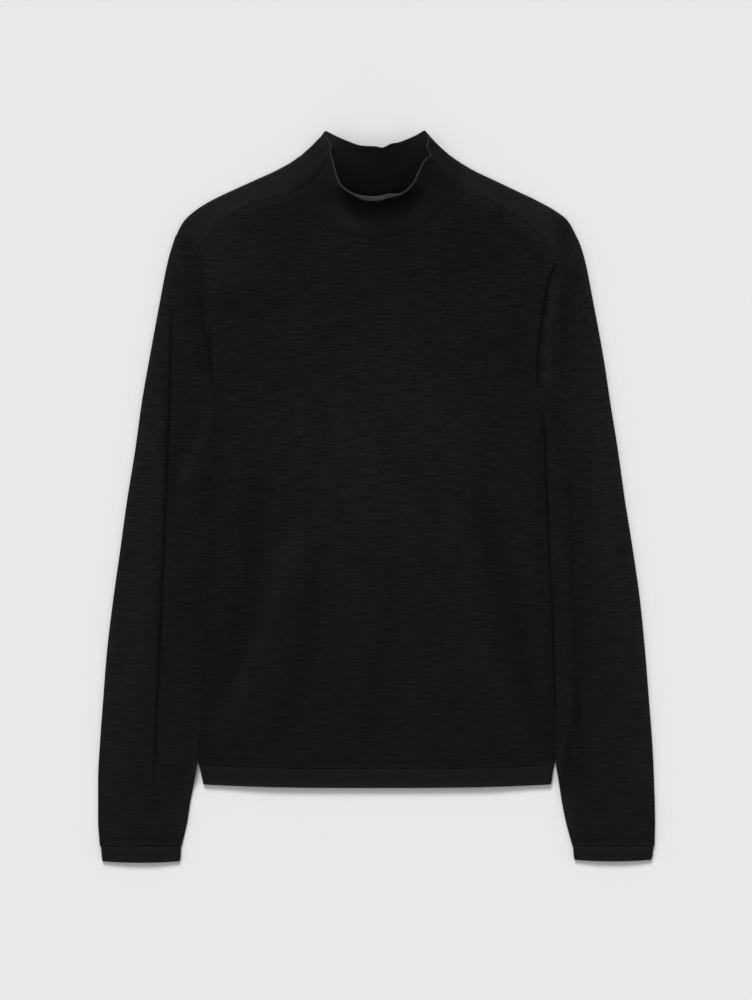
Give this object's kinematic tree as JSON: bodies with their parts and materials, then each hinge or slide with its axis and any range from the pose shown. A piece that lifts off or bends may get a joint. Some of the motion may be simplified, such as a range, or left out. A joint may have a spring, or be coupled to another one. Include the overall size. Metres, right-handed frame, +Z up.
{
  "type": "turtleneck sweater",
  "caption": "Fine-knit pullover with a low standing collar, set-in long sleeves, narrow plain cuffs and hem band, laid flat on its back.",
  "frame": {"origin": "on the surface that the sweater lies on, under the centre of its outline", "axes": "+Y from the hem to the neck, +X towards the wearer's left sleeve, +Z up from the surface through the front of the sweater"},
  "size_m": [0.6004, 0.7892, 0.0319],
  "materials": {
    "body_knit": "black slubbed fine-gauge jersey knit, matt",
    "band_knit": "black doubled plain knit, matt"
  },
  "bodies": {
    "root": {"back_panel": "body_knit", "front_panel": "body_knit", "sleeve_left": "body_knit", "sleeve_right": "body_knit", "collar": "band_knit", "hem_band": "band_knit", "cuff_left": "band_knit", "cuff_right": "band_knit"}
  },
  "joints": []
}
